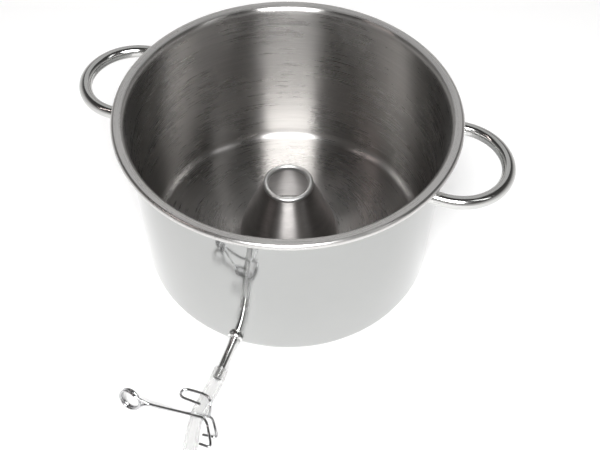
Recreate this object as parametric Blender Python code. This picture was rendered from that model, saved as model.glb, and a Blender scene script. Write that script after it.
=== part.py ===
"""Juice kettle of a steam juicer: the middle pot, with its steam cone, two tube handles,
an outlet spout, a silicone juice hose and a sprung wire clamp that pinches the hose.

Metres, +Z up. The kettle stands on Z = 0. Its spout points along -Y and its handles
lie along X. The origin is the middle of the kettle's own box, at its base, so the
kettle's axis stands at (0, AXIS_Y).
"""
import math

import bmesh
import bpy
from mathutils import Matrix, Vector

# ---- kettle body ----
WALL_RADIUS = 0.1303         # outside of the straight wall
RIM_FLARE = 0.0097           # how far the rolled rim stands out from the wall
KETTLE_HEIGHT = 0.1605
SHEET = 0.0008               # steel sheet of the kettle and the cone
CORNER_RADIUS = 0.0100       # outside, between wall and base
RIM_ROLL_DEPTH = 0.0105      # height of the flared and rolled rim
RIM_PROFILE = [              # (share of the flare, share of the roll's depth), wall to rolled edge
    (0.00, 0.20), (0.03, 0.50), (0.09, 0.67), (0.19, 0.79), (0.30, 0.87), (0.47, 0.93),
    (0.66, 0.98), (0.79, 1.00), (0.92, 0.95), (0.99, 0.85), (1.00, 0.73), (0.95, 0.60), (0.84, 0.54),
]

# ---- steam cone ----
CONE_HEIGHT = 0.0705         # above the kettle's floor
CONE_TOP_RADIUS = 0.0223
CONE_MOUTH_RADIUS = 0.0178   # inside the turned-in lip
CONE_FOOT_RADIUS = 0.0445    # where the cone's wall meets its foot flange
CONE_FLANGE = 0.0035         # width of the foot flange
CONE_SEAT = 0.0050           # how far the foot flange reaches over the edge of the floor's hole
CONE_FOOT_BEND = 0.0012      # height and width of the bend between wall and flange
CONE_PROFILE = [             # (share of the way in, share of the way up), flange to lip
    (0.01, 0.09), (0.08, 0.23), (0.25, 0.38), (0.44, 0.53), (0.63, 0.67), (0.83, 0.82), (0.95, 0.93),
]

# ---- handles ----
HANDLE_TUBE_RADIUS = 0.0053
HANDLE_TUBE_WALL = 0.0010
HANDLE_HALF_WIDTH = 0.0400   # from the handle's middle to the middle of each arm
HANDLE_REACH = 0.0485        # from the wall to the middle of the bow
HANDLE_DROP = 0.0155         # tube's middle below the top of the rim

# ---- outlet ----
SPOUT_RADIUS = 0.0040
SPOUT_WALL = 0.0007
SPOUT_LENGTH = 0.0405        # outside the wall
SPOUT_HEIGHT = 0.0132        # tube's middle where it leaves the wall
SPOUT_DROOP = math.radians(5)
WELD_RING_RADIUS = 0.0013    # thickness radius of the ring at the spout's root
SPOUT_INSIDE = 0.0012        # how far the spout stands in from the wall's inside

# ---- hose and clamp ----
HOSE_RADIUS = 0.0060
HOSE_LOOP_RADIUS = 0.0620    # the stored turn, to the middle of the hose
WIRE_RADIUS = 0.0011
SPRING_RADIUS = 0.0089       # to the middle of the wire
SPRING_PITCH = 0.0025

GAP = 0.0003                 # between pieces that touch

RIM_RADIUS = WALL_RADIUS + RIM_FLARE
FLOOR_TOP = SHEET
SPOUT_OUT = Vector((0, -math.cos(SPOUT_DROOP), -math.sin(SPOUT_DROOP)))
SPOUT_ROOT = Vector((0, -WALL_RADIUS, SPOUT_HEIGHT))
SPOUT_MOUTH = SPOUT_ROOT + SPOUT_LENGTH * SPOUT_OUT
SPOUT_REACH = -SPOUT_MOUTH.y + SPOUT_RADIUS * math.sin(SPOUT_DROOP)
AXIS_Y = (SPOUT_REACH - RIM_RADIUS) / 2
AXIS = Vector((0, AXIS_Y, 0))

# Routes of the hose and of the clamp's wire. X and Y are measured from the spout's mouth, Z from
# the surface that the kettle stands on.
ROUTE_START = Vector((0, SPOUT_MOUTH.y, 0))
HOSE_ROUTE = [
    (-0.0002, -0.0064, 0.0092), (-0.0009, -0.0129, 0.0089), (-0.0016, -0.0199, 0.0088),
    (-0.0022, -0.0269, 0.0088), (-0.0024, -0.0334, 0.0088), (-0.0018, -0.0399, 0.0087),
    (-0.0004, -0.0469, 0.0082), (0.0014, -0.0549, 0.0072), (0.0032, -0.0639, 0.0064),
    (0.0040, -0.0734, 0.0061), (0.0036, -0.0844, 0.0061), (0.0030, -0.0974, 0.0061),
    (0.0028, -0.1110, 0.0061), (0.0030, -0.1250, 0.0061),
]
HOSE_LOOP_CENTRE = Vector((0.0656, -0.1404, HOSE_RADIUS + 0.0001))
HOSE_LOOP_START = math.radians(184)
HOSE_LOOP_END = math.radians(497)

SPRING_CENTRE = Vector((-0.0574, -0.0409, 0.0118))
SPRING_LONG = Vector((0.838, -0.325, -0.439))
SPRING_SHORT = Vector((0.524, 0.250, 0.814))
SPRING_LOWER_END = math.radians(-13)
SPRING_UPPER_END = math.radians(105)
SPRING_SWEEP = 4 * math.pi - (SPRING_UPPER_END - SPRING_LOWER_END)   # a little under two turns

UPPER_ARM_ROUTE = [
    (-0.0415, -0.0412, 0.0158), (-0.0312, -0.0405, 0.0155), (-0.0188, -0.0395, 0.0158),
    (-0.0077, -0.0387, 0.0163), (-0.0011, -0.0383, 0.0164), (0.0050, -0.0381, 0.0163),
    (0.0087, -0.0404, 0.0156), (0.0108, -0.0431, 0.0150), (0.0132, -0.0467, 0.0145),
    (0.0153, -0.0498, 0.0140), (0.0176, -0.0536, 0.0136), (0.0183, -0.0560, 0.0133),
    (0.0165, -0.0570, 0.0131), (0.0132, -0.0570, 0.0130), (0.0098, -0.0570, 0.0130),
]
LOWER_ARM_ROUTE = [
    (-0.0430, -0.0397, 0.0098), (-0.0336, -0.0377, 0.0068), (-0.0225, -0.0349, 0.0032),
    (-0.0147, -0.0330, 0.0017), (-0.0058, -0.0313, 0.0013), (0.0006, -0.0302, 0.0013),
    (0.0048, -0.0296, 0.0016), (0.0078, -0.0306, 0.0024), (0.0102, -0.0330, 0.0034),
    (0.0135, -0.0374, 0.0044), (0.0163, -0.0412, 0.0050), (0.0178, -0.0440, 0.0053),
    (0.0166, -0.0454, 0.0054), (0.0136, -0.0458, 0.0055), (0.0100, -0.0463, 0.0055),
    (0.0072, -0.0467, 0.0055),
]
KEEPER_ROUTE = [
    (0.0058, -0.0303, 0.0060), (0.0062, -0.0296, 0.0085), (0.0062, -0.0282, 0.0115),
    (0.0056, -0.0260, 0.0143), (0.0042, -0.0230, 0.0160), (0.0016, -0.0205, 0.0165),
    (-0.0030, -0.0193, 0.0165), (-0.0079, -0.0192, 0.0165), (-0.0125, -0.0194, 0.0165),
    (-0.0168, -0.0199, 0.0165), (-0.0197, -0.0214, 0.0165), (-0.0205, -0.0240, 0.0165),
    (-0.0192, -0.0266, 0.0165), (-0.0160, -0.0276, 0.0165), (-0.0090, -0.0279, 0.0165),
    (-0.0020, -0.0283, 0.0165),
]

LATHE_STEPS = 60
CONE_STEPS = 44
TUBE_SIDES = 14
WIRE_STEP = 0.0024           # between points along the clamp's wire
HOSE_STEP = 0.0075           # between points along the hose


# ---- small tools ----

def clear_scene():
    for obj in list(bpy.data.objects):
        bpy.data.objects.remove(obj, do_unlink=True)


def material(name, colour, roughness, metallic, alpha=1.0):
    mat = bpy.data.materials.new(name)
    mat.use_nodes = True
    shader = mat.node_tree.nodes["Principled BSDF"]
    shader.inputs["Base Color"].default_value = (*colour, 1.0)
    shader.inputs["Roughness"].default_value = roughness
    shader.inputs["Metallic"].default_value = metallic
    shader.inputs["Alpha"].default_value = alpha
    return mat


def new_object(name, data, mat, location=AXIS):
    obj = bpy.data.objects.new(name, data)
    obj.location = location
    data.materials.append(mat)
    bpy.context.scene.collection.objects.link(obj)
    return obj


def finish_mesh(bm, name, smooth_angle=35):
    """Turn a bmesh into a mesh with outward faces and smooth round surfaces."""
    bmesh.ops.recalc_face_normals(bm, faces=bm.faces[:])
    mesh = bpy.data.meshes.new(name)
    bm.to_mesh(mesh)
    bm.free()
    mesh.shade_smooth()
    mesh.set_sharp_from_angle(angle=math.radians(smooth_angle))
    return mesh


def arc(centre_r, centre_z, radius, start_deg, end_deg, steps):
    """Points (r, z) along an arc, both ends included."""
    points = []
    for i in range(steps + 1):
        angle = math.radians(start_deg + (end_deg - start_deg) * i / steps)
        points.append((centre_r + radius * math.cos(angle), centre_z + radius * math.sin(angle)))
    return points


def smooth_route(points, per_span):
    """A Catmull-Rom curve through the points, read at per_span places in each span."""
    pts = [Vector(p) for p in points]
    padded = [2 * pts[0] - pts[1]] + pts + [2 * pts[-1] - pts[-2]]
    route = []
    for i in range(len(pts) - 1):
        a, b, c, d = padded[i:i + 4]
        for k in range(per_span):
            t = k / per_span
            route.append(0.5 * (2 * b + (c - a) * t + (2 * a - 5 * b + 4 * c - d) * t ** 2
                                + (3 * b - a - 3 * c + d) * t ** 3))
    route.append(pts[-1])
    return route


def spaced(points, spacing):
    """The same polyline read at even distances close to spacing, ends kept."""
    lengths = [0.0]
    for a, b in zip(points, points[1:]):
        lengths.append(lengths[-1] + (b - a).length)
    count = max(1, round(lengths[-1] / spacing))
    result = []
    span = 0
    for i in range(count + 1):
        target = lengths[-1] * i / count
        while span < len(points) - 2 and lengths[span + 1] < target:
            span += 1
        part = (target - lengths[span]) / max(lengths[span + 1] - lengths[span], 1e-9)
        result.append(points[span].lerp(points[span + 1], min(part, 1.0)))
    return result


def sheet_outline(centreline, thickness):
    """The closed outline of a sheet whose middle follows the (r, z) centreline."""
    pts = [Vector(p) for p in centreline]
    left = []
    right = []
    for i, point in enumerate(pts):
        before = pts[max(i - 1, 0)]
        after = pts[min(i + 1, len(pts) - 1)]
        along = (after - before).normalized()
        across = Vector((-along.y, along.x)) * (thickness / 2)
        left.append(point + across)
        right.append(point - across)
    return left + right[::-1]


def turned(name, outline, steps, mat):
    """A closed (r, z) outline turned about the kettle's axis."""
    bm = bmesh.new()
    rings = []
    for i in range(steps):
        angle = 2 * math.pi * i / steps
        rings.append([bm.verts.new((r * math.cos(angle), r * math.sin(angle), z)) for r, z in outline])
    for i in range(steps):
        ring, following = rings[i], rings[(i + 1) % steps]
        for j in range(len(outline)):
            k = (j + 1) % len(outline)
            bm.faces.new((ring[j], ring[k], following[k], following[j]))
    return new_object(name, finish_mesh(bm, name), mat)


def frames_along(path):
    """A tangent and two cross directions at each point, carried along without twist."""
    tangents = []
    for i in range(len(path)):
        tangents.append((path[min(i + 1, len(path) - 1)] - path[max(i - 1, 0)]).normalized())
    side = tangents[0].orthogonal().normalized()
    frames = []
    for tangent in tangents:
        side = (side - side.dot(tangent) * tangent).normalized()
        frames.append((side, tangent.cross(side)))
    return frames


def ring_verts(bm, centre, side, up, radius, sides):
    verts = []
    for k in range(sides):
        angle = 2 * math.pi * k / sides
        verts.append(bm.verts.new(centre + radius * (math.cos(angle) * side + math.sin(angle) * up)))
    return verts


def bridge(bm, first, second):
    for k in range(len(first)):
        m = (k + 1) % len(first)
        bm.faces.new((first[k], first[m], second[m], second[k]))


def hollow_tube(name, path, outer, inner, sides, mat):
    """A tube with an open bore, swept along the path."""
    bm = bmesh.new()
    outside = []
    inside = []
    for centre, (side, up) in zip(path, frames_along(path)):
        outside.append(ring_verts(bm, centre, side, up, outer, sides))
        inside.append(ring_verts(bm, centre, side, up, inner, sides))
    for rings in (outside, inside):
        for first, second in zip(rings, rings[1:]):
            bridge(bm, first, second)
    bridge(bm, outside[0], inside[0])
    bridge(bm, outside[-1], inside[-1])
    return new_object(name, finish_mesh(bm, name), mat)


def solid_rod(name, path, radius, resolution, mat):
    """A round rod or hose: a bevelled poly curve with filled caps."""
    curve = bpy.data.curves.new(name, "CURVE")
    curve.dimensions = "3D"
    curve.bevel_depth = radius
    curve.bevel_resolution = resolution
    curve.use_fill_caps = True
    spline = curve.splines.new("POLY")
    spline.points.add(len(path) - 1)
    for point, place in zip(spline.points, path):
        point.co = (*place, 1.0)
    spline.use_smooth = True
    return new_object(name, curve, mat)


def cutter_cylinder(name, radius, start, end, sides):
    """A hidden cylinder from start to end, for a Boolean to subtract."""
    bm = bmesh.new()
    along = (end - start).normalized()
    side = along.orthogonal().normalized()
    first = ring_verts(bm, start, side, along.cross(side), radius, sides)
    second = ring_verts(bm, end, side, along.cross(side), radius, sides)
    bridge(bm, first, second)
    bm.faces.new(first)
    bm.faces.new(second)
    obj = bpy.data.objects.new(name, finish_mesh(bm, name))
    obj.location = AXIS
    obj.hide_render = True
    obj.display_type = "WIRE"
    bpy.context.scene.collection.objects.link(obj)
    return obj


def cut(obj, cutter):
    modifier = obj.modifiers.new(cutter.name, "BOOLEAN")
    modifier.operation = "DIFFERENCE"
    modifier.object = cutter


# ---- the pieces ----

def kettle_shell(mat):
    """Drawn pot: base with a hole under the cone, corner, wall, and a rim flared and rolled."""
    middle = SHEET / 2
    hole = CONE_FOOT_RADIUS + CONE_FLANGE - CONE_SEAT
    corner = CORNER_RADIUS - middle
    wall = WALL_RADIUS - middle
    top = KETTLE_HEIGHT - middle
    rim_base = KETTLE_HEIGHT - RIM_ROLL_DEPTH
    roll = RIM_RADIUS - middle
    line = [(hole, middle), (0.5 * (hole + wall), middle)]
    line += arc(wall - corner, middle + corner, corner, -90, 0, 6)
    line += [(wall, 0.5 * rim_base), (wall, rim_base)]
    line += [(wall + (roll - wall) * out, rim_base + (top - rim_base) * up) for out, up in RIM_PROFILE]
    shell = turned("kettle_shell", sheet_outline(line, SHEET), LATHE_STEPS, mat)
    through = SPOUT_ROOT - 0.010 * SPOUT_OUT
    beyond = SPOUT_ROOT + 0.006 * SPOUT_OUT
    cut(shell, cutter_cylinder("spout_hole", SPOUT_RADIUS + GAP, through, beyond, TUBE_SIDES))
    return shell


def steam_cone(mat):
    """Bell-shaped chimney on a foot flange, its top edge turned in as a round lip."""
    middle = SHEET / 2
    foot_z = FLOOR_TOP + GAP + middle
    top_z = FLOOR_TOP + CONE_HEIGHT - middle
    foot = CONE_FOOT_RADIUS - middle
    top = CONE_TOP_RADIUS - middle
    lip = (CONE_TOP_RADIUS - CONE_MOUTH_RADIUS) / 2 - middle
    shoulder_z = top_z - lip
    rise = shoulder_z - foot_z
    line = [
        (foot + CONE_FLANGE, foot_z),
        (foot + CONE_FOOT_BEND, foot_z + 0.1 * CONE_FOOT_BEND),
        (foot + 0.2 * CONE_FOOT_BEND, foot_z + CONE_FOOT_BEND),
    ]
    line += [(foot + (top - foot) * inward, foot_z + rise * up) for inward, up in CONE_PROFILE]
    line += arc(top - lip, shoulder_z, lip, 0, 180, 6)
    line.append((CONE_MOUTH_RADIUS + middle, shoulder_z - lip))
    return turned("steam_cone", sheet_outline(line, SHEET), CONE_STEPS, mat)


def handle(name, turn, mat):
    """Bent tube: two short arms out of the wall, joined by a round bow."""
    z = KETTLE_HEIGHT - HANDLE_DROP
    bow_centre = WALL_RADIUS + HANDLE_REACH - HANDLE_HALF_WIDTH
    start = WALL_RADIUS - HANDLE_HALF_WIDTH / 4
    bow_steps = 16
    local = [Vector((start, -HANDLE_HALF_WIDTH, z))]
    for i in range(bow_steps + 1):
        angle = math.radians(-90 + 180 * i / bow_steps)
        local.append(Vector((bow_centre + HANDLE_HALF_WIDTH * math.cos(angle),
                             HANDLE_HALF_WIDTH * math.sin(angle), z)))
    local.append(Vector((start, HANDLE_HALF_WIDTH, z)))
    around = Matrix.Rotation(turn, 4, "Z")
    path = [around @ p for p in local]
    tube = hollow_tube(name, path, HANDLE_TUBE_RADIUS, HANDLE_TUBE_RADIUS - HANDLE_TUBE_WALL,
                       TUBE_SIDES, mat)
    below = Vector((0, 0, z - 0.02))
    above = Vector((0, 0, z + 0.02))
    cut(tube, cutter_cylinder(name + "_wall_cut", WALL_RADIUS + GAP, below, above, 4 * LATHE_STEPS))
    return tube


def outlet_spout(mat):
    """Straight steel tube, from just inside the wall to the mouth that the hose fits over."""
    inside = SPOUT_ROOT - (SHEET + SPOUT_INSIDE) * SPOUT_OUT
    path = [inside, inside.lerp(SPOUT_MOUTH, 0.5), SPOUT_MOUTH]
    return hollow_tube("outlet_spout", path, SPOUT_RADIUS, SPOUT_RADIUS - SPOUT_WALL, TUBE_SIDES, mat)


def spout_weld_ring(mat):
    """Round bead where the spout is joined to the wall."""
    centre = SPOUT_ROOT + (WELD_RING_RADIUS + 3 * GAP) * SPOUT_OUT
    radius = SPOUT_RADIUS + WELD_RING_RADIUS + GAP
    side = Vector((1, 0, 0))
    up = SPOUT_OUT.cross(side)
    bm = bmesh.new()
    steps = 20
    sides = 8
    rings = []
    for i in range(steps):
        angle = 2 * math.pi * i / steps
        outward = math.cos(angle) * side + math.sin(angle) * up
        rings.append(ring_verts(bm, centre + radius * outward, outward, SPOUT_OUT, WELD_RING_RADIUS, sides))
    for i in range(steps):
        bridge(bm, rings[i], rings[(i + 1) % steps])
    return new_object("spout_weld_ring", finish_mesh(bm, "spout_weld_ring"), mat)


def from_mouth(route):
    return [ROUTE_START + Vector(p) for p in route]


def hose_path():
    """From the spout's mouth past the clamp, then once round the stored turn."""
    start = SPOUT_MOUTH + GAP * SPOUT_OUT
    loop = []
    loop_steps = 18
    for i in range(loop_steps + 1):
        angle = HOSE_LOOP_START + (HOSE_LOOP_END - HOSE_LOOP_START) * i / loop_steps
        loop.append(ROUTE_START + HOSE_LOOP_CENTRE
                    + HOSE_LOOP_RADIUS * Vector((math.cos(angle), math.sin(angle), 0)))
    return [start] + from_mouth(HOSE_ROUTE) + loop


def juice_hose(mat):
    path = spaced(smooth_route(hose_path(), 6), HOSE_STEP)
    return solid_rod("juice_hose", path, HOSE_RADIUS, 3, mat)


def spring_point(angle, turned_by):
    """A place on the clamp's spring; turned_by counts from the spring's lower end."""
    across = math.cos(angle) * SPRING_LONG + math.sin(angle) * SPRING_SHORT
    axis = SPRING_SHORT.cross(SPRING_LONG)
    lift = (turned_by - SPRING_SWEEP / 2) / (2 * math.pi) * SPRING_PITCH
    return ROUTE_START + SPRING_CENTRE + SPRING_RADIUS * across - lift * axis


def spring_path():
    steps = 36
    turns = [SPRING_SWEEP * i / steps for i in range(steps + 1)]
    return [spring_point(SPRING_LOWER_END - turned, turned) for turned in turns]


def arm_path(route, root, leaving):
    """An arm from just off the spring's end, along its route."""
    start = root + GAP * leaving
    return spaced(smooth_route([start, root + 0.004 * leaving] + from_mouth(route), 5), WIRE_STEP)


def clamp(mat):
    """Wire clamp: a two-turn spring, an arm over the hose, an arm under it, and a keeper."""
    coil = spring_path()
    solid_rod("clamp_spring", coil, WIRE_RADIUS, 2, mat)
    lower_leaving = (coil[0] - coil[1]).normalized()
    upper_leaving = (coil[-1] - coil[-2]).normalized()
    solid_rod("clamp_arm_lower", arm_path(LOWER_ARM_ROUTE, coil[0], lower_leaving), WIRE_RADIUS, 2, mat)
    solid_rod("clamp_arm_upper", arm_path(UPPER_ARM_ROUTE, coil[-1], upper_leaving), WIRE_RADIUS, 2, mat)
    keeper = spaced(smooth_route(from_mouth(KEEPER_ROUTE), 5), WIRE_STEP)
    solid_rod("clamp_hose_keeper", keeper, WIRE_RADIUS, 2, mat)


def build():
    clear_scene()
    kettle_shell(material("polished_steel", (0.80, 0.80, 0.79), 0.08, 1.0))
    steam_cone(material("brushed_steel", (0.62, 0.61, 0.60), 0.30, 1.0))
    handle("handle_right", 0.0, material("handle_right_steel", (0.78, 0.78, 0.78), 0.06, 1.0))
    handle("handle_left", math.pi, material("handle_left_steel", (0.78, 0.78, 0.78), 0.06, 1.0))
    outlet_spout(material("spout_steel", (0.74, 0.74, 0.74), 0.12, 1.0))
    spout_weld_ring(material("weld_steel", (0.85, 0.85, 0.84), 0.18, 1.0))
    juice_hose(material("clear_silicone", (0.88, 0.89, 0.88), 0.15, 0.0, alpha=0.45))
    clamp(material("chromed_wire", (0.70, 0.70, 0.71), 0.05, 1.0))


build()
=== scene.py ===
"""Looks of the juice kettle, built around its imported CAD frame: smooth steel, a clear hose
and a bright wire clamp, with a pale floor and soft studio light.
"""
import math

import bmesh
import bpy
from mathutils import Matrix, Vector


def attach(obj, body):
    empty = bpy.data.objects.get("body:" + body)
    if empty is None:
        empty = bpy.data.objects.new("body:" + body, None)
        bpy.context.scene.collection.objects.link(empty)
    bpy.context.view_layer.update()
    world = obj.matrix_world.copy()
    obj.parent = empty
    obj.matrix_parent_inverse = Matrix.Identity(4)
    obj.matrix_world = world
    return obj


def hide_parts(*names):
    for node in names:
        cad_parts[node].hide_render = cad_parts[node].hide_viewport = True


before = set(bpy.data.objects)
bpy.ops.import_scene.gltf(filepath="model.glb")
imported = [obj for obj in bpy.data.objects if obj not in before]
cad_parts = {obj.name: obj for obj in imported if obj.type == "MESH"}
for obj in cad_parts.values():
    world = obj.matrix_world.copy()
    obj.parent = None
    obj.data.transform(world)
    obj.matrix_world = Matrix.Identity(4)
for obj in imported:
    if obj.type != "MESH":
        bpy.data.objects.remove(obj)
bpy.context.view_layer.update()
scene = bpy.context.scene

# ---- sizes, as the CAD has them, in metres ----
WALL_RADIUS = 0.1303
RIM_FLARE = 0.0097
KETTLE_HEIGHT = 0.1605
SHEET = 0.0008
CORNER_RADIUS = 0.0100
RIM_ROLL_DEPTH = 0.0105
RIM_PROFILE = [
    (0.00, 0.20), (0.03, 0.50), (0.09, 0.67), (0.19, 0.79), (0.30, 0.87), (0.47, 0.93),
    (0.66, 0.98), (0.79, 1.00), (0.92, 0.95), (0.99, 0.85), (1.00, 0.73), (0.95, 0.60), (0.84, 0.54),
]
CONE_HEIGHT = 0.0705
CONE_TOP_RADIUS = 0.0223
CONE_MOUTH_RADIUS = 0.0178
CONE_FOOT_RADIUS = 0.0445
CONE_FLANGE = 0.0035
CONE_SEAT = 0.0050
CONE_FOOT_BEND = 0.0012
CONE_PROFILE = [
    (0.01, 0.09), (0.08, 0.23), (0.25, 0.38), (0.44, 0.53), (0.63, 0.67), (0.83, 0.82), (0.95, 0.93),
]
HANDLE_TUBE_RADIUS = 0.0053
HANDLE_HALF_WIDTH = 0.0400
HANDLE_REACH = 0.0485
HANDLE_DROP = 0.0155
SPOUT_RADIUS = 0.0040
SPOUT_WALL = 0.0007
SPOUT_LENGTH = 0.0405
SPOUT_HEIGHT = 0.0132
SPOUT_DROOP = math.radians(5)
SPOUT_INSIDE = 0.0012
WELD_RING_RADIUS = 0.0013
HOSE_RADIUS = 0.0060
HOSE_LOOP_RADIUS = 0.0620
WIRE_RADIUS = 0.0011
SPRING_RADIUS = 0.0089
SPRING_PITCH = 0.0025
GAP = 0.0003

# ---- sizes of the looks ----
HANDLE_WALL = 0.0010
HANDLE_SINK = 0.0002         # how far the handles' ends reach into the kettle's wall
BORE_CLEARANCE = 0.0001      # between the spout and the hole it passes through
FLOOR_DROP = 0.0001          # the floor lies this far under the kettle
HOSE_BORE_RADIUS = 0.0040
CUFF_LENGTH = 0.0090         # the stretch of hose pushed over the spout
CUFF_FADE = 0.0060           # how soon the stretched hose is back to its own size
CUFF_SWELL = 0.0001
CUFF_BORE_SWELL = 0.00008
CUFF_EDGE = 0.0003           # the cuff's rounded edge
PINCH_DISTANCE = 0.0440      # from the spout's mouth to the middle of the clamp's grip
PINCH_SPREAD = 0.0140
PINCH_DEPTH = 0.0004
SPRING_LEAD = 0.0040         # straight wire between the spring and an arm's first bend
SPOUT_EDGE = 0.0003
WELD_RIPPLE = 0.05
WELD_RIPPLES = 9

# ---- fineness of the meshes ----
KETTLE_SIDES = 256
CONE_SIDES = 160
TUBE_SIDES = 32
HOSE_SIDES = 28
WIRE_SIDES = 16
FLOOR_STEPS = 12
CORNER_STEPS = 14
WALL_STEPS = 24
RIM_STEPS = 4
RIM_WALL_SPANS = 5           # spans of the rim's curve that still have the wall's finish
CONE_STEPS = 6
LIP_STEPS = 14
HANDLE_STEPS = 64
HANDLE_END_STEPS = 4
WELD_STEPS = 64
SPRING_STEPS = 120
ROUTE_STEPS = 8
LOOP_STEPS = 26
CUFF_STEPS = 6
HOSE_STEP = 0.0024
WIRE_STEP = 0.0008

SPOUT_OUT = Vector((0, -math.cos(SPOUT_DROOP), -math.sin(SPOUT_DROOP)))
SPOUT_ROOT = Vector((0, -WALL_RADIUS, SPOUT_HEIGHT))
SPOUT_MOUTH = SPOUT_ROOT + SPOUT_LENGTH * SPOUT_OUT
SPOUT_REACH = -SPOUT_MOUTH.y + SPOUT_RADIUS * math.sin(SPOUT_DROOP)
AXIS = Vector((0, (SPOUT_REACH - WALL_RADIUS - RIM_FLARE) / 2, 0))

# Routes of the hose and the clamp's wire: X and Y from the spout's mouth, Z from the floor.
ROUTE_START = Vector((0, SPOUT_MOUTH.y, 0))
HOSE_ROUTE = [
    (-0.0002, -0.0064, 0.0092), (-0.0009, -0.0129, 0.0089), (-0.0016, -0.0199, 0.0088),
    (-0.0022, -0.0269, 0.0088), (-0.0024, -0.0334, 0.0088), (-0.0018, -0.0399, 0.0087),
    (-0.0004, -0.0469, 0.0082), (0.0014, -0.0549, 0.0072), (0.0032, -0.0639, 0.0064),
    (0.0040, -0.0734, 0.0061), (0.0036, -0.0844, 0.0061), (0.0030, -0.0974, 0.0061),
    (0.0028, -0.1110, 0.0061), (0.0030, -0.1250, 0.0061),
]
HOSE_LOOP_CENTRE = Vector((0.0656, -0.1404, HOSE_RADIUS + 0.0001))
HOSE_LOOP_START = math.radians(184)
HOSE_LOOP_END = math.radians(497)
SPRING_CENTRE = Vector((-0.0574, -0.0409, 0.0118))
SPRING_LONG = Vector((0.838, -0.325, -0.439))
SPRING_SHORT = Vector((0.524, 0.250, 0.814))
SPRING_LOWER_END = math.radians(-13)
SPRING_UPPER_END = math.radians(105)
SPRING_SWEEP = 4 * math.pi - (SPRING_UPPER_END - SPRING_LOWER_END)
UPPER_ARM_ROUTE = [
    (-0.0415, -0.0412, 0.0158), (-0.0312, -0.0405, 0.0155), (-0.0188, -0.0395, 0.0158),
    (-0.0077, -0.0387, 0.0163), (-0.0011, -0.0383, 0.0164), (0.0050, -0.0381, 0.0163),
    (0.0087, -0.0404, 0.0156), (0.0108, -0.0431, 0.0150), (0.0132, -0.0467, 0.0145),
    (0.0153, -0.0498, 0.0140), (0.0176, -0.0536, 0.0136), (0.0183, -0.0560, 0.0133),
    (0.0165, -0.0570, 0.0131), (0.0132, -0.0570, 0.0130), (0.0098, -0.0570, 0.0130),
]
LOWER_ARM_ROUTE = [
    (-0.0430, -0.0397, 0.0098), (-0.0336, -0.0377, 0.0068), (-0.0225, -0.0349, 0.0032),
    (-0.0147, -0.0330, 0.0017), (-0.0058, -0.0313, 0.0013), (0.0006, -0.0302, 0.0013),
    (0.0048, -0.0296, 0.0016), (0.0078, -0.0306, 0.0024), (0.0102, -0.0330, 0.0034),
    (0.0135, -0.0374, 0.0044), (0.0163, -0.0412, 0.0050), (0.0178, -0.0440, 0.0053),
    (0.0166, -0.0454, 0.0054), (0.0136, -0.0458, 0.0055), (0.0100, -0.0463, 0.0055),
    (0.0072, -0.0467, 0.0055),
]
KEEPER_ROUTE = [
    (0.0058, -0.0303, 0.0060), (0.0062, -0.0296, 0.0085), (0.0062, -0.0282, 0.0115),
    (0.0056, -0.0260, 0.0143), (0.0042, -0.0230, 0.0160), (0.0016, -0.0205, 0.0165),
    (-0.0030, -0.0193, 0.0165), (-0.0079, -0.0192, 0.0165), (-0.0125, -0.0194, 0.0165),
    (-0.0168, -0.0199, 0.0165), (-0.0197, -0.0214, 0.0165), (-0.0205, -0.0240, 0.0165),
    (-0.0192, -0.0266, 0.0165), (-0.0160, -0.0276, 0.0165), (-0.0090, -0.0279, 0.0165),
    (-0.0020, -0.0283, 0.0165),
]


# ---- shape tools ----

def link(name, data, location=AXIS):
    obj = bpy.data.objects.new(name, data)
    obj.location = location
    scene.collection.objects.link(obj)
    return obj


def mesh_of(bm, name, smooth_angle=40):
    bmesh.ops.recalc_face_normals(bm, faces=bm.faces[:])
    mesh = bpy.data.meshes.new(name)
    bm.to_mesh(mesh)
    bm.free()
    mesh.shade_smooth()
    mesh.set_sharp_from_angle(angle=math.radians(smooth_angle))
    return mesh


def arc(centre_r, centre_z, radius, start_deg, end_deg, steps):
    points = []
    for i in range(steps + 1):
        angle = math.radians(start_deg + (end_deg - start_deg) * i / steps)
        points.append(Vector((centre_r + radius * math.cos(angle), centre_z + radius * math.sin(angle))))
    return points


def smooth_route(points, per_span):
    """A Catmull-Rom curve through the points."""
    pts = [Vector(p) for p in points]
    padded = [2 * pts[0] - pts[1]] + pts + [2 * pts[-1] - pts[-2]]
    route = []
    for i in range(len(pts) - 1):
        a, b, c, d = padded[i:i + 4]
        for k in range(per_span):
            t = k / per_span
            route.append(0.5 * (2 * b + (c - a) * t + (2 * a - 5 * b + 4 * c - d) * t ** 2
                                + (3 * b - a - 3 * c + d) * t ** 3))
    route.append(pts[-1])
    return route


def spaced(points, spacing):
    """The same polyline read at even distances close to spacing."""
    lengths = [0.0]
    for a, b in zip(points, points[1:]):
        lengths.append(lengths[-1] + (b - a).length)
    count = max(1, round(lengths[-1] / spacing))
    result = []
    span = 0
    for i in range(count + 1):
        target = lengths[-1] * i / count
        while span < len(points) - 2 and lengths[span + 1] < target:
            span += 1
        part = (target - lengths[span]) / max(lengths[span + 1] - lengths[span], 1e-9)
        result.append(points[span].lerp(points[span + 1], min(part, 1.0)))
    return result


def two_sides(centreline, thickness):
    """Both sides of a sheet whose middle follows the (r, z) centreline."""
    left = []
    right = []
    for i, point in enumerate(centreline):
        before = centreline[max(i - 1, 0)]
        after = centreline[min(i + 1, len(centreline) - 1)]
        along = (after - before).normalized()
        across = Vector((-along.y, along.x)) * (thickness / 2)
        left.append(point + across)
        right.append(point - across)
    return left, right


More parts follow.
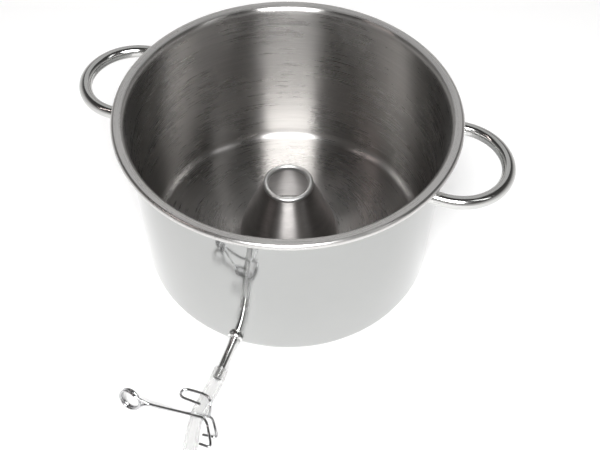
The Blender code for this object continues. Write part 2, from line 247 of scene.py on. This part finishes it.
def turned(name, outline, steps, materials, material_of):
    """A closed (r, z) outline turned about the axis; material_of(j) is the finish after point j."""
    bm = bmesh.new()
    rings = []
    for i in range(steps):
        angle = 2 * math.pi * (i + 0.5) / steps
        rings.append([bm.verts.new((p.x * math.cos(angle), p.x * math.sin(angle), p.y)) for p in outline])
    for i in range(steps):
        ring, following = rings[i], rings[(i + 1) % steps]
        for j in range(len(outline)):
            k = (j + 1) % len(outline)
            face = bm.faces.new((ring[j], ring[k], following[k], following[j]))
            face.material_index = material_of(j)
    mesh = mesh_of(bm, name)
    for mat in materials:
        mesh.materials.append(mat)
    return link(name, mesh)


def frames_along(path):
    tangents = []
    for i in range(len(path)):
        tangents.append((path[min(i + 1, len(path) - 1)] - path[max(i - 1, 0)]).normalized())
    side = tangents[0].orthogonal().normalized()
    frames = []
    for tangent in tangents:
        side = (side - side.dot(tangent) * tangent).normalized()
        frames.append((side, tangent.cross(side)))
    return frames


def ring_verts(bm, centre, side, up, radius, sides):
    verts = []
    for k in range(sides):
        angle = 2 * math.pi * k / sides
        verts.append(bm.verts.new(centre + radius * (math.cos(angle) * side + math.sin(angle) * up)))
    return verts


def bridge(bm, first, second):
    for k in range(len(first)):
        m = (k + 1) % len(first)
        bm.faces.new((first[k], first[m], second[m], second[k]))


def tube(name, path, outer, inner, sides, mat, ends_on_radius=None):
    """An open tube along the path; outer and inner are radii, one number or one for each point."""
    bm = bmesh.new()
    outers = outer if isinstance(outer, list) else [outer] * len(path)
    inners = inner if isinstance(inner, list) else [inner] * len(path)
    outside = []
    inside = []
    for centre, (side, up), big, small in zip(path, frames_along(path), outers, inners):
        outside.append(ring_verts(bm, centre, side, up, big, sides))
        inside.append(ring_verts(bm, centre, side, up, small, sides))
    if ends_on_radius:
        for ring in (outside[0], outside[-1], inside[0], inside[-1]):
            for vert in ring:
                sign = 1 if vert.co.x > 0 else -1
                vert.co.x = sign * math.sqrt(ends_on_radius ** 2 - vert.co.y ** 2)
    for rings in (outside, inside):
        for first, second in zip(rings, rings[1:]):
            bridge(bm, first, second)
    bridge(bm, outside[0], inside[0])
    bridge(bm, outside[-1], inside[-1])
    mesh = mesh_of(bm, name)
    mesh.materials.append(mat)
    return link(name, mesh)


def wire(name, path, radius, mat):
    """A round wire with softly cut ends."""
    bm = bmesh.new()
    rings = []
    frames = frames_along(path)
    start_out = (path[0] - path[1]).normalized()
    end_out = (path[-1] - path[-2]).normalized()
    soft = 0.25 * radius
    stations = [(path[0] + soft * start_out, frames[0], radius - soft)]
    stations += [(p, f, radius) for p, f in zip(path, frames)]
    stations.append((path[-1] + soft * end_out, frames[-1], radius - soft))
    for centre, (side, up), size in stations:
        rings.append(ring_verts(bm, centre, side, up, size, WIRE_SIDES))
    for first, second in zip(rings, rings[1:]):
        bridge(bm, first, second)
    bm.faces.new(rings[0])
    bm.faces.new(rings[-1])
    mesh = mesh_of(bm, name)
    mesh.materials.append(mat)
    return link(name, mesh)


# ---- material tools ----

class Nodes:
    """A material's nodes, made and joined in one line each."""

    def __init__(self, name):
        self.material = bpy.data.materials.new(name)
        self.material.use_nodes = True
        self.tree = self.material.node_tree
        self.shader = self.tree.nodes["Principled BSDF"]

    def add(self, kind, **settings):
        node = self.tree.nodes.new(kind)
        for key, value in settings.items():
            setattr(node, key, value)
        return node

    def join(self, source, target):
        self.tree.links.new(source, target)

    def value(self, operation, first, second=None):
        node = self.add("ShaderNodeMath", operation=operation)
        for socket, given in zip(node.inputs, (first, second)):
            if given is None:
                continue
            if isinstance(given, (int, float)):
                socket.default_value = given
            else:
                self.join(given, socket)
        return node.outputs[0]

    def noise(self, vector, scale, detail=3.0, roughness=0.55):
        node = self.add("ShaderNodeTexNoise")
        node.inputs["Scale"].default_value = scale
        node.inputs["Detail"].default_value = detail
        node.inputs["Roughness"].default_value = roughness
        self.join(vector, node.inputs["Vector"])
        return node.outputs["Fac"]

    def range(self, source, low, high, to_low, to_high):
        node = self.add("ShaderNodeMapRange")
        for key, given in (("From Min", low), ("From Max", high), ("To Min", to_low), ("To Max", to_high)):
            node.inputs[key].default_value = given
        self.join(source, node.inputs["Value"])
        return node.outputs["Result"]

    def set(self, **values):
        for key, given in values.items():
            self.shader.inputs[key.replace("_", " ")].default_value = given

    def bump(self, height, strength, distance, normal=None):
        node = self.add("ShaderNodeBump")
        node.inputs["Strength"].default_value = strength
        node.inputs["Distance"].default_value = distance
        self.join(height, node.inputs["Height"])
        if normal is not None:
            self.join(normal, node.inputs["Normal"])
        return node.outputs["Normal"]


def around_the_axis(nodes, along, across):
    """Coordinates that run slowly round the axis and quickly across it, for spun and brushed metal."""
    coords = nodes.add("ShaderNodeTexCoord").outputs["Object"]
    split = nodes.add("ShaderNodeSeparateXYZ")
    nodes.join(coords, split.inputs[0])
    x, y, z = split.outputs
    squares = nodes.value("ADD", nodes.value("MULTIPLY", x, x), nodes.value("MULTIPLY", y, y))
    radius = nodes.value("SQRT", squares)
    safe = nodes.value("MAXIMUM", radius, 0.001)
    joined = nodes.add("ShaderNodeCombineXYZ")
    nodes.join(nodes.value("MULTIPLY", nodes.value("DIVIDE", x, safe), along), joined.inputs[0])
    nodes.join(nodes.value("MULTIPLY", nodes.value("DIVIDE", y, safe), along), joined.inputs[1])
    nodes.join(nodes.value("MULTIPLY", nodes.value("ADD", radius, z), across), joined.inputs[2])
    return joined.outputs[0]


def spun_steel(name, colour, roughness, anisotropy, line_depth, edge=1.0):
    """Steel brushed round the kettle's axis: lights draw out across the lines.

    roughness is a (low, high) pair, and edge is the reflection's tint at grazing angles.
    """
    nodes = Nodes(name)
    coords = around_the_axis(nodes, 0.006, 1.0)
    fine = nodes.noise(coords, 420.0, 4.0, 0.75)
    coarse = nodes.noise(coords, 160.0, 2.0, 0.5)
    patches = nodes.noise(nodes.add("ShaderNodeTexCoord").outputs["Object"], 22.0, 3.0, 0.5)
    blend = nodes.value("ADD", nodes.value("MULTIPLY", fine, 0.8), nodes.value("MULTIPLY", coarse, 0.2))
    low, high = roughness
    base = nodes.range(blend, 0.3, 0.7, low, high)
    nodes.join(nodes.value("ADD", base, nodes.range(patches, 0.3, 0.7, -0.015, 0.015)),
               nodes.shader.inputs["Roughness"])
    tint = nodes.add("ShaderNodeMix", data_type="RGBA")
    tint.inputs["A"].default_value = (*[c * 0.90 for c in colour], 1)
    tint.inputs["B"].default_value = (*[min(c * 1.08, 1) for c in colour], 1)
    nodes.join(nodes.range(blend, 0.35, 0.65, 0, 1), tint.inputs["Factor"])
    nodes.join(tint.outputs["Result"], nodes.shader.inputs["Base Color"])
    nodes.join(nodes.bump(blend, 1.0, line_depth), nodes.shader.inputs["Normal"])
    tangent = nodes.add("ShaderNodeTangent", direction_type="RADIAL", axis="Z")
    nodes.join(tangent.outputs[0], nodes.shader.inputs["Tangent"])
    nodes.set(Metallic=1.0, Anisotropic=anisotropy, Anisotropic_Rotation=0.25,
              Specular_Tint=(edge, edge, edge, 1))
    return nodes.material


def mirror_steel(name, colour, roughness, waviness):
    """Polished steel: near mirror, with faint polishing haze and a barely wavy surface."""
    nodes = Nodes(name)
    coords = nodes.add("ShaderNodeTexCoord").outputs["Object"]
    haze = nodes.noise(coords, 26.0, 4.0, 0.6)
    lines = nodes.noise(around_the_axis(nodes, 0.008, 1.0), 500.0, 3.0, 0.6)
    low, high = roughness
    base = nodes.range(haze, 0.3, 0.7, low, high)
    nodes.join(nodes.value("ADD", base, nodes.range(lines, 0.3, 0.7, 0.0, 0.02)),
               nodes.shader.inputs["Roughness"])
    tint = nodes.add("ShaderNodeMix", data_type="RGBA")
    tint.inputs["A"].default_value = (*[c * 0.97 for c in colour], 1)
    tint.inputs["B"].default_value = (*[min(c * 1.02, 1) for c in colour], 1)
    nodes.join(haze, tint.inputs["Factor"])
    nodes.join(tint.outputs["Result"], nodes.shader.inputs["Base Color"])
    waves = nodes.noise(coords, 9.0, 1.0, 0.3)
    first = nodes.bump(waves, waviness, 0.004)
    nodes.join(nodes.bump(lines, 0.03, 0.00005, first), nodes.shader.inputs["Normal"])
    nodes.set(Metallic=1.0)
    return nodes.material


def clear_silicone(name):
    nodes = Nodes(name)
    coords = nodes.add("ShaderNodeTexCoord").outputs["Object"]
    cloud = nodes.noise(coords, 60.0, 3.0, 0.5)
    nodes.join(nodes.range(cloud, 0.3, 0.7, 0.10, 0.22), nodes.shader.inputs["Roughness"])
    tint = nodes.add("ShaderNodeMix", data_type="RGBA")
    tint.inputs["A"].default_value = (0.95, 0.955, 0.95, 1)
    tint.inputs["B"].default_value = (0.99, 0.99, 0.985, 1)
    nodes.join(cloud, tint.inputs["Factor"])
    nodes.join(tint.outputs["Result"], nodes.shader.inputs["Base Color"])
    nodes.join(nodes.bump(nodes.noise(coords, 240.0, 2.0, 0.5), 0.12, 0.0003), nodes.shader.inputs["Normal"])
    nodes.set(IOR=1.41, Transmission_Weight=0.92, Specular_IOR_Level=0.5, Alpha=0.55)
    return nodes.material


# ---- camera ----

def camera():
    data = bpy.data.cameras.new("camera")
    data.lens = 46.87
    data.sensor_width = 36.0
    data.clip_start = 0.01
    data.clip_end = 50.0
    obj = bpy.data.objects.new("camera", data)
    forward = Vector((-0.19957612, 0.59169329, -0.78106877))
    right = Vector((0.94335562, 0.33162716, 0.01017876))
    up = Vector((-0.26504632, 0.73479417, 0.62436205))
    turn = Matrix((right, up, -forward)).transposed()
    obj.matrix_world = Matrix.Translation(AXIS + Vector((0.1577, -0.4333, 0.5865))) @ turn.to_4x4()
    scene.collection.objects.link(obj)
    scene.camera = obj


# ---- hose ----

def from_mouth(route):
    return [ROUTE_START + Vector(p) for p in route]


def hose():
    """The silicone hose: a cuff on the spout's end, a free run pinched by the clamp, and one stored turn."""
    loop = []
    for i in range(LOOP_STEPS + 1):
        angle = HOSE_LOOP_START + (HOSE_LOOP_END - HOSE_LOOP_START) * i / LOOP_STEPS
        loop.append(ROUTE_START + HOSE_LOOP_CENTRE
                    + HOSE_LOOP_RADIUS * Vector((math.cos(angle), math.sin(angle), 0)))
    free = spaced(smooth_route([SPOUT_MOUTH] + from_mouth(HOSE_ROUTE) + loop, ROUTE_STEPS), HOSE_STEP)
    cuff = [SPOUT_MOUTH - CUFF_LENGTH * (1 - i / CUFF_STEPS) * SPOUT_OUT for i in range(CUFF_STEPS)]
    path = cuff + free
    outer = []
    inner = []
    travelled = 0.0
    for i, point in enumerate(path):
        if i:
            travelled += (point - path[i - 1]).length
        grip = 1 - min(max((travelled - CUFF_LENGTH) / CUFF_FADE, 0), 1)
        squeeze = math.exp(-((travelled - CUFF_LENGTH - PINCH_DISTANCE) / PINCH_SPREAD) ** 2)
        outer.append(HOSE_RADIUS + CUFF_SWELL * grip - PINCH_DEPTH * squeeze)
        inner.append(HOSE_BORE_RADIUS + CUFF_BORE_SWELL * grip - PINCH_DEPTH * squeeze)
    outer[0] -= CUFF_EDGE
    piece = tube("juice_hose_clear", path, outer, inner, HOSE_SIDES, clear_silicone("clear_silicone"))
    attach(piece, "kettle")
    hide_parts("juice_hose")


# ---- clamp ----

def spring_point(angle, turned_by):
    """A point of the spring's helix, at an angle in its own plane and so far along its sweep."""
    across = math.cos(angle) * SPRING_LONG + math.sin(angle) * SPRING_SHORT
    axis = SPRING_SHORT.cross(SPRING_LONG)
    lift = (turned_by - SPRING_SWEEP / 2) / (2 * math.pi) * SPRING_PITCH
    return ROUTE_START + SPRING_CENTRE + SPRING_RADIUS * across - lift * axis


def clamp():
    chrome = mirror_steel("bright_wire", (0.52, 0.52, 0.53), (0.03, 0.07), 0.03)
    turns = [SPRING_SWEEP * i / SPRING_STEPS for i in range(SPRING_STEPS + 1)]
    coil = [spring_point(SPRING_LOWER_END - turned_by, turned_by) for turned_by in turns]
    lower_leaving = (coil[0] - coil[1]).normalized()
    upper_leaving = (coil[-1] - coil[-2]).normalized()
    routes = [
        ("clamp_spring_wire", "clamp_spring", "clamp", coil),
        ("clamp_arm_lower_wire", "clamp_arm_lower", "clamp",
         smooth_route([coil[0], coil[0] + SPRING_LEAD * lower_leaving] + from_mouth(LOWER_ARM_ROUTE),
                      ROUTE_STEPS)),
        ("clamp_arm_upper_wire", "clamp_arm_upper", "clamp_upper_arm",
         smooth_route([coil[-1], coil[-1] + SPRING_LEAD * upper_leaving] + from_mouth(UPPER_ARM_ROUTE),
                      ROUTE_STEPS)),
        ("clamp_keeper_wire", "clamp_hose_keeper", "clamp",
         smooth_route(from_mouth(KEEPER_ROUTE), ROUTE_STEPS)),
    ]
    for name, node, body, route in routes:
        piece = wire(name, spaced(route, WIRE_STEP), WIRE_RADIUS, chrome)
        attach(piece, body)
        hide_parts(node)


# ---- kettle ----

def kettle():
    """The drawn pot: mirror outside, brushed round its axis inside with painted shade, and a brushed rolled
    rim painted lighter as a painted highlight.
    """
    middle = SHEET / 2
    wall = WALL_RADIUS - middle
    corner = CORNER_RADIUS - middle
    top = KETTLE_HEIGHT - middle
    rim_base = KETTLE_HEIGHT - RIM_ROLL_DEPTH
    roll = WALL_RADIUS + RIM_FLARE - middle
    hole = CONE_FOOT_RADIUS + CONE_FLANGE - CONE_SEAT
    line = [Vector((hole + (wall - corner - hole) * i / FLOOR_STEPS, middle)) for i in range(FLOOR_STEPS)]
    line += arc(wall - corner, middle + corner, corner, -90, 0, CORNER_STEPS)
    corner_end = middle + corner
    line += [Vector((wall, corner_end + (rim_base - corner_end) * i / WALL_STEPS))
             for i in range(1, WALL_STEPS)]
    rim_index = len(line)
    rim = [Vector((wall, rim_base))]
    rim += [Vector((wall + (roll - wall) * out, rim_base + (top - rim_base) * up)) for out, up in RIM_PROFILE]
    line += smooth_route(rim, RIM_STEPS)
    left, right = two_sides(line, SHEET)
    outline = left + right[::-1]
    rim_start = rim_index - 1 + RIM_STEPS * RIM_WALL_SPANS    # where the flare turns flat
    inside, outside, rim_finish = 0, 1, 2

    def finish(j):
        if j < rim_start:
            return inside
        if j > 2 * len(line) - rim_start - 2:
            return outside
        return rim_finish

    materials = [
        # Painted shade: the inside is the same steel as the rim, but its colour (0.45) and its grazing edge
        # tint (0.3) are darkened to paint in the interior's shade.
        spun_steel("brushed_inside_painted_shade", (0.45, 0.44, 0.43), (0.26, 0.30), 1.0, 0.0000015, 0.3),
        mirror_steel("polished_outside", (0.41, 0.415, 0.41), (0.03, 0.07), 0.035),
        # Painted highlight: the rim's colour (0.62) is painted lighter than the inside's, for the light its
        # upturned band catches.
        spun_steel("brushed_rim_painted_highlight", (0.62, 0.61, 0.60), (0.24, 0.32), 0.6, 0.000005),
    ]
    piece = turned("kettle_body", outline, KETTLE_SIDES, materials, finish)
    drill = bmesh.new()
    side = Vector((1, 0, 0))
    up = SPOUT_OUT.cross(side)
    bore = SPOUT_RADIUS + BORE_CLEARANCE
    rings = [ring_verts(drill, SPOUT_ROOT + d * SPOUT_OUT, side, up, bore, TUBE_SIDES)
             for d in (-0.008, 0.006)]
    bridge(drill, rings[0], rings[1])
    drill.faces.new(rings[0])
    drill.faces.new(rings[1])
    cutter = link("drill", mesh_of(drill, "drill"))
    modifier = piece.modifiers.new("spout_hole", "BOOLEAN")
    modifier.operation = "DIFFERENCE"
    modifier.object = cutter
    bpy.context.view_layer.update()
    cut = bpy.data.meshes.new_from_object(piece.evaluated_get(bpy.context.evaluated_depsgraph_get()))
    piece.modifiers.clear()
    piece.data = cut
    bpy.data.objects.remove(cutter, do_unlink=True)
    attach(piece, "kettle")
    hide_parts("kettle_shell")


def cone():
    """The steam chimney: a foot flange on the floor, a bell and a rolled lip, whose colour is painted lighter
    than the bell's as a painted highlight.
    """
    middle = SHEET / 2
    foot_z = SHEET + GAP + middle
    top_z = SHEET + CONE_HEIGHT - middle
    foot = CONE_FOOT_RADIUS - middle
    top = CONE_TOP_RADIUS - middle
    lip = (CONE_TOP_RADIUS - CONE_MOUTH_RADIUS) / 2 - middle
    shoulder_z = top_z - lip
    rise = shoulder_z - foot_z
    body = [
        Vector((foot + CONE_FLANGE, foot_z)),
        Vector((foot + CONE_FOOT_BEND, foot_z + 0.1 * CONE_FOOT_BEND)),
        Vector((foot + 0.2 * CONE_FOOT_BEND, foot_z + CONE_FOOT_BEND)),
    ]
    body += [Vector((foot + (top - foot) * inward, foot_z + rise * up)) for inward, up in CONE_PROFILE]
    body.append(Vector((top, shoulder_z)))
    line = smooth_route(body, CONE_STEPS)
    lip_start = len(line) - 3
    line += arc(top - lip, shoulder_z, lip, 0, 180, LIP_STEPS)[1:]
    line.append(Vector((CONE_MOUTH_RADIUS + middle, shoulder_z - lip)))
    left, right = two_sides(line, SHEET)
    outline = left + right[::-1]

    def finish(j):
        on_lip = lip_start <= j < 2 * len(line) - lip_start - 2
        return 1 if on_lip else 0

    materials = [
        spun_steel("brushed_cone", (0.50, 0.48, 0.47), (0.38, 0.44), 1.0, 0.000006),
        # Painted highlight: the lip is the bell's steel with its colour painted much lighter (0.80 against
        # 0.50), for the light its rolled top catches.
        spun_steel("brushed_lip_painted_highlight", (0.80, 0.80, 0.79), (0.34, 0.40), 0.3, 0.00001),
    ]
    piece = turned("steam_cone_spun", outline, CONE_SIDES, materials, finish)
    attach(piece, "kettle")
    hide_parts("steam_cone")


def handle(name, node, side):
    """A bowed tube, open at both ends, which meet the curved wall; side is 1 or -1."""
    z = KETTLE_HEIGHT - HANDLE_DROP
    bow_centre = WALL_RADIUS + HANDLE_REACH - HANDLE_HALF_WIDTH
    root = WALL_RADIUS - HANDLE_HALF_WIDTH / 4
    straight = [root + (bow_centre - root) * i / HANDLE_END_STEPS for i in range(HANDLE_END_STEPS)]
    path = [Vector((side * x, -HANDLE_HALF_WIDTH, z)) for x in straight]
    for i in range(HANDLE_STEPS + 1):
        angle = math.radians(-90 + 180 * i / HANDLE_STEPS)
        path.append(Vector((side * (bow_centre + HANDLE_HALF_WIDTH * math.cos(angle)),
                            HANDLE_HALF_WIDTH * math.sin(angle), z)))
    path += [Vector((side * x, HANDLE_HALF_WIDTH, z)) for x in reversed(straight)]
    chrome = mirror_steel(name + "_polish", (0.60, 0.60, 0.59), (0.10, 0.16), 0.03)
    piece = tube(name, path, HANDLE_TUBE_RADIUS, HANDLE_TUBE_RADIUS - HANDLE_WALL, TUBE_SIDES, chrome,
                 ends_on_radius=WALL_RADIUS - HANDLE_SINK)
    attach(piece, "kettle")
    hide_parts(node)


def spout():
    steel = mirror_steel("spout_polish", (0.62, 0.62, 0.615), (0.06, 0.12), 0.04)
    inside = SPOUT_ROOT - (SHEET + SPOUT_INSIDE) * SPOUT_OUT
    length = (SPOUT_MOUTH - inside).length
    marks = [0, SPOUT_EDGE, length * 0.25, length * 0.5, length * 0.75, length - SPOUT_EDGE, length]
    path = [inside + d * SPOUT_OUT for d in marks]
    outer = [SPOUT_RADIUS - SPOUT_EDGE] + [SPOUT_RADIUS] * 5 + [SPOUT_RADIUS - SPOUT_EDGE]
    piece = tube("outlet_spout_tube", path, outer, SPOUT_RADIUS - SPOUT_WALL, TUBE_SIDES, steel)
    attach(piece, "kettle")
    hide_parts("outlet_spout")


def weld_bead():
    """The slightly rippled bead round the spout's root."""
    weld = mirror_steel("weld_bead", (0.80, 0.80, 0.79), (0.12, 0.22), 0.25)
    centre = SPOUT_ROOT + (WELD_RING_RADIUS + GAP) * SPOUT_OUT
    radius = SPOUT_RADIUS + WELD_RING_RADIUS
    side = Vector((1, 0, 0))
    up = SPOUT_OUT.cross(side)
    bm = bmesh.new()
    rings = []
    for i in range(WELD_STEPS):
        angle = 2 * math.pi * i / WELD_STEPS
        outward = math.cos(angle) * side + math.sin(angle) * up
        bead = WELD_RING_RADIUS * (1 + WELD_RIPPLE * math.sin(WELD_RIPPLES * angle))
        rings.append(ring_verts(bm, centre + radius * outward, outward, SPOUT_OUT, bead, WIRE_SIDES))
    for i in range(WELD_STEPS):
        bridge(bm, rings[i], rings[(i + 1) % WELD_STEPS])
    mesh = mesh_of(bm, "spout_weld_bead")
    mesh.materials.append(weld)
    piece = link("spout_weld_bead", mesh)
    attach(piece, "kettle")
    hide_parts("spout_weld_ring")


# ---- floor and light ----

def floor():
    nodes = Nodes("pale_floor")
    nodes.set(Base_Color=(0.90, 0.90, 0.90, 1), Roughness=0.7, Emission_Color=(1, 1, 1, 1),
              Emission_Strength=0.16)
    bm = bmesh.new()
    reach = 4.0
    bm.faces.new([bm.verts.new((x, y, -FLOOR_DROP)) for x, y in
                  ((-reach, -reach), (reach, -reach), (reach, reach), (-reach, reach))])
    mesh = bpy.data.meshes.new("floor")
    bm.to_mesh(mesh)
    bm.free()
    mesh.materials.append(nodes.material)
    link("floor", mesh, Vector((0, 0, 0)))


def softbox(name, azimuth, elevation, distance, width, height, power, colour=(1, 1, 1)):
    """A rectangular light aimed at the kettle, in degrees, metres and watts."""
    data = bpy.data.lights.new(name, "AREA")
    data.shape = "RECTANGLE"
    data.size = width
    data.size_y = height
    data.energy = power
    data.color = colour
    a, e = math.radians(azimuth), math.radians(elevation)
    back = Vector((math.cos(a) * math.cos(e), math.sin(a) * math.cos(e), math.sin(e)))
    side = Vector((-math.sin(a), math.cos(a), 0))
    up = back.cross(side)
    turn = Matrix((side, up, back)).transposed()
    obj = bpy.data.objects.new(name, data)
    target = AXIS + Vector((0, 0, 0.08))
    obj.matrix_world = Matrix.Translation(target + distance * back) @ turn.to_4x4()
    scene.collection.objects.link(obj)


def studio():
    """A pale horizon under a dark ceiling, so that polished steel has something to show."""
    world = bpy.data.worlds.new("studio")
    world.use_nodes = True
    tree = world.node_tree
    coords = tree.nodes.new("ShaderNodeTexCoord")
    split = tree.nodes.new("ShaderNodeSeparateXYZ")
    ramp = tree.nodes.new("ShaderNodeValToRGB")
    tree.links.new(coords.outputs["Generated"], split.inputs[0])
    tree.links.new(split.outputs[2], ramp.inputs[0])
    tree.links.new(ramp.outputs[0], tree.nodes["Background"].inputs[0])
    elements = ramp.color_ramp.elements
    elements[0].position = 0.0
    elements[0].color = (0.95, 0.95, 0.95, 1)
    elements[1].position = 1.0
    elements[1].color = (0.04, 0.038, 0.036, 1)
    for position, shade in ((0.15, 0.75), (0.40, 0.32), (0.55, 0.08)):
        element = elements.new(position)
        element.color = (shade, shade * 0.985, shade * 0.97, 1)
    scene.world = world
    softbox("front_panel", -71, 54, 1.8, 0.86, 0.9, 42)
    softbox("back_panel", 110, 50, 2.2, 1.8, 1.8, 5.5)
    softbox("right_strip", -6, 52, 1.8, 0.20, 0.8, 1.4)
    softbox("left_strip", -150, 52, 1.8, 0.05, 0.8, 1.2, (1.0, 0.86, 0.84))
    scene.view_settings.view_transform = "Standard"


camera()
clamp()
hose()
kettle()
cone()
handle("handle_right_tube", "handle_right", 1)
handle("handle_left_tube", "handle_left", -1)
spout()
weld_bead()
floor()
studio()
